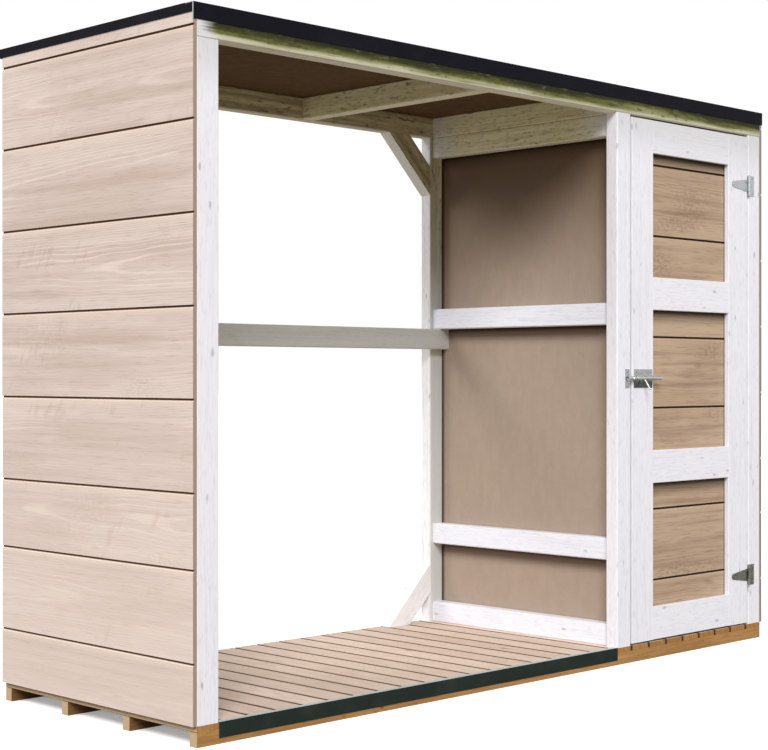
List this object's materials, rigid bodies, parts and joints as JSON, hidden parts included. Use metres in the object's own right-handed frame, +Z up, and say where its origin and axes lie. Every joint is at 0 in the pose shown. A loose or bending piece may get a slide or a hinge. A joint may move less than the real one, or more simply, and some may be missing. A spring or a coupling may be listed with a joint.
{
  "type": "log store",
  "caption": "Flat-roofed garden log store: open bay on a slatted floor with a rear rail, grooved side walls, and a side cupboard with a hinged, bolted door.",
  "frame": {"origin": "middle of the bounding box on the ground", "axes": "+X to the right along the front, +Y to the rear, +Z up"},
  "size_m": [2.518, 0.9106, 1.83],
  "materials": {
    "painted_timber": "white painted softwood with faint grain, knots and some green staining",
    "raw_pine": "unpainted honey-coloured pine",
    "deck_boards": "pale planed boards",
    "grooved_cladding": "wood-grain embossed sheet with horizontal grooves",
    "plain_sheet": "smooth brown sheet",
    "roof_covering": "matt black covering",
    "edge_strip": "black folded strip",
    "threshold_strip": "dark green-grey folded angle",
    "zinc": "zinc-plated steel"
  },
  "bodies": {
    "frame": {"left_front_post": "painted_timber", "left_rear_post": "painted_timber", "partition_front_post": "painted_timber", "partition_rear_post": "painted_timber", "right_front_post": "painted_timber", "right_rear_post": "painted_timber", "left_rails": "painted_timber", "partition_rails": "painted_timber", "right_rails": "painted_timber", "back_rails": "painted_timber", "rear_rail": "painted_timber", "brace_top_left": "painted_timber", "brace_top_right": "painted_timber", "brace_bottom_left": "painted_timber", "brace_bottom_right": "painted_timber", "front_header": "painted_timber", "rear_header": "painted_timber", "left_rafter": "painted_timber", "bay_rafter": "painted_timber", "partition_rafter": "painted_timber", "right_rafter": "painted_timber", "bearers": "raw_pine", "deck": "deck_boards", "left_cladding": "grooved_cladding", "right_cladding": "grooved_cladding", "back_cladding": "grooved_cladding", "partition_sheet": "plain_sheet", "roof_sheet": "plain_sheet", "roof_membrane": "roof_covering", "front_strip": "edge_strip", "rear_strip": "edge_strip", "left_strip": "edge_strip", "right_strip": "edge_strip", "threshold": "threshold_strip", "hinge_leaf_bottom": "zinc", "hinge_leaf_top": "zinc", "bolt_keeper": "zinc"},
    "door": {"door_latch_stile": "painted_timber", "door_hinge_stile": "painted_timber", "door_rails": "painted_timber", "door_panels": "grooved_cladding", "hinge_strap_bottom": "zinc", "hinge_strap_top": "zinc", "bolt_plate": "zinc"},
    "bolt": {"bolt_rod": "zinc"}
  },
  "joints": [
    {"name": "door_hinge", "type": "hinge", "parent": "frame", "child": "door", "pos_m": [1.172, -0.42415, 0.9], "axis": [0, 0, 1], "range_deg": [0, 180]},
    {"name": "bolt_slide", "type": "slide", "parent": "door", "child": "bolt", "axis": [-1, 0, 0], "range_m": [0, 0.027]}
  ]
}
